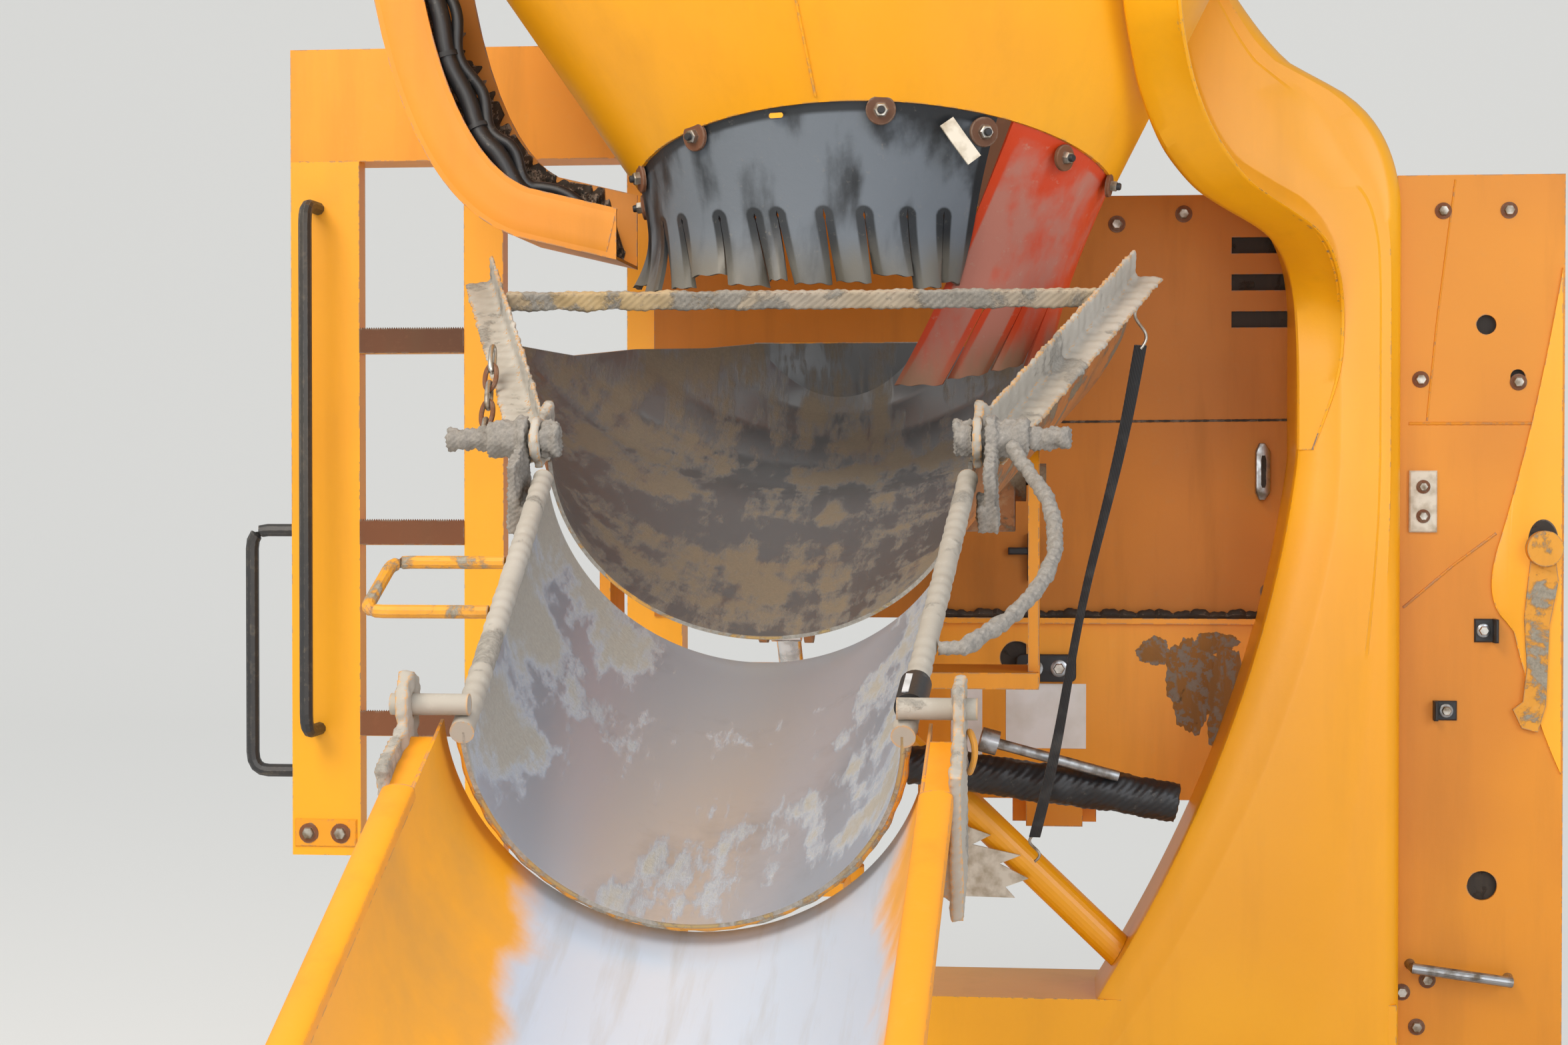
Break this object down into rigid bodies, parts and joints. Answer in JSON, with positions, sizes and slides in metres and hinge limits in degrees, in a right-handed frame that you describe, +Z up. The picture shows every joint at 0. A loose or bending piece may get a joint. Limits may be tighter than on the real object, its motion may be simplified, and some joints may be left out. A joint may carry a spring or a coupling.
{
  "type": "concrete mixer rear discharge unit",
  "caption": "Rear discharge unit of a concrete mixer truck: pedestal with ladder, collector funnel with rubber boots, and a slewing, lifting and folding line of chutes.",
  "frame": {"origin": "centre of the four chassis bolts on the face that bolts to the ends of the chassis rails", "axes": "+Y forwards to the truck's cab, +Z up, +X to the truck's right side"},
  "size_m": [2.7703, 3.787, 2.4661],
  "materials": {
    "mount_plates": "yellow paint, dusty, worn at the edges",
    "left_post": "yellow paint, dusty, worn at the edges",
    "right_post": "yellow paint, dusty, worn at the edges",
    "bumper_beam": "yellow paint, dusty, worn at the edges",
    "top_beam": "yellow paint, dusty, worn at the edges",
    "slew_arm": "yellow paint, dusty, worn at the edges",
    "side_column": "yellow paint, dusty, worn at the edges",
    "side_plate": "yellow paint, dusty, worn at the edges",
    "rear_panel": "yellow paint, dusty, worn at the edges",
    "lower_panel": "yellow paint, dusty, worn at the edges",
    "ladder_arm": "yellow paint, dusty, worn at the edges",
    "ladder": "yellow paint, dusty, worn at the edges",
    "grab_rails": "dark grey paint, satin",
    "left_gutter": "yellow paint, dusty, worn at the edges",
    "right_arm": "yellow paint, dusty, worn at the edges",
    "funnel": "yellow paint, dusty, worn at the edges",
    "funnel_arms": "yellow paint, dusty, worn at the edges",
    "front_boot": "black rubber with a grey cement bloom",
    "brace": "yellow paint, dusty, worn at the edges",
    "hose_sleeve": "black rubber, greasy",
    "control_lever": "plain steel, greased",
    "drip_flap": "pale rubber, dusty",
    "side_latch": "yellow paint, dusty, worn at the edges",
    "step_bar": "plain steel, greased",
    "panel_fittings": "plain steel, greased",
    "side_boot": "orange rubber, scuffed",
    "swivel_post": "plain steel, greased",
    "swivel_yoke": "yellow paint, dusty, worn at the edges",
    "cylinder_foot": "yellow paint, dusty, worn at the edges",
    "cylinder_barrel": "dark grey paint, satin",
    "cylinder_rod": "plain steel, greased",
    "main_trough": "paint worn to steel under dried cement",
    "main_rails": "yellow paint, dusty, worn at the edges",
    "chute_cradle": "yellow paint, dusty, worn at the edges",
    "lift_lug": "yellow paint, dusty, worn at the edges",
    "crossbar": "paint worn to steel under dried cement",
    "hinge_bolts": "steel under dried cement",
    "foldover_chute": "paint worn to steel under dried cement",
    "foldover_ears": "paint worn to steel under dried cement",
    "left_handle": "yellow paint, dusty, worn at the edges",
    "right_handle": "steel under dried cement",
    "end_hooks": "steel under dried cement",
    "extension_chute": "yellow paint, dusty, worn at the edges",
    "hook_plates": "paint worn to steel under dried cement"
  },
  "bodies": {
    "pedestal": {"mount_plates": "mount_plates", "left_post": "left_post", "right_post": "right_post", "bumper_beam": "bumper_beam", "top_beam": "top_beam", "slew_arm": "slew_arm", "side_column": "side_column", "side_plate": "side_plate", "rear_panel": "rear_panel", "lower_panel": "lower_panel", "ladder_arm": "ladder_arm", "ladder": "ladder", "grab_rails": "grab_rails", "left_gutter": "left_gutter", "right_arm": "right_arm", "funnel": "funnel", "funnel_arms": "funnel_arms", "front_boot": "front_boot", "brace": "brace", "hose_sleeve": "hose_sleeve", "control_lever": "control_lever", "drip_flap": "drip_flap", "side_latch": "side_latch", "step_bar": "step_bar", "panel_fittings": "panel_fittings", "side_boot": "side_boot"},
    "swivel": {"swivel_post": "swivel_post", "swivel_yoke": "swivel_yoke", "cylinder_foot": "cylinder_foot"},
    "barrel": {"cylinder_barrel": "cylinder_barrel"},
    "rod": {"cylinder_rod": "cylinder_rod"},
    "main_chute": {"main_trough": "main_trough", "main_rails": "main_rails", "chute_cradle": "chute_cradle", "lift_lug": "lift_lug", "crossbar": "crossbar", "hinge_bolts": "hinge_bolts"},
    "foldover": {"foldover_chute": "foldover_chute", "foldover_ears": "foldover_ears", "left_handle": "left_handle", "right_handle": "right_handle", "end_hooks": "end_hooks"},
    "extension": {"extension_chute": "extension_chute", "hook_plates": "hook_plates"}
  },
  "joints": [
    {"name": "slew", "type": "hinge", "parent": "pedestal", "child": "swivel", "pos_m": [0, -0.85, 0], "axis": [0, 0, 1], "range_deg": [-85, 85], "deforming": ["side_boot"]},
    {"name": "lift", "type": "hinge", "parent": "swivel", "child": "main_chute", "pos_m": [0, -0.85, 0.59], "axis": [1, 0, 0], "range_deg": [-10, 12]},
    {"name": "barrel_pivot", "type": "hinge", "parent": "swivel", "child": "barrel", "pos_m": [0, -1.02, -0.1], "axis": [1, 0, 0], "range_deg": [-4.5, 5.3]},
    {"name": "rod_slide", "type": "slide", "parent": "barrel", "child": "rod", "axis": [0, -0.7107, 0.7035], "range_m": [-0.13, 0.108]},
    {"name": "fold", "type": "hinge", "parent": "main_chute", "child": "foldover", "pos_m": [0, -1.91643, 0.64167], "axis": [1, 0, 0], "range_deg": [-110, 0]},
    {"name": "extension_tilt", "type": "hinge", "parent": "foldover", "child": "extension", "pos_m": [0, -2.68148, 0.31423], "axis": [1, 0, 0], "range_deg": [-40, 0]}
  ],
  "couplings": [
    {"joint": "barrel_pivot", "follows": "lift", "ratio": 0.4302},
    {"joint": "rod_slide", "follows": "lift", "m_per_rad": -0.6123}
  ]
}
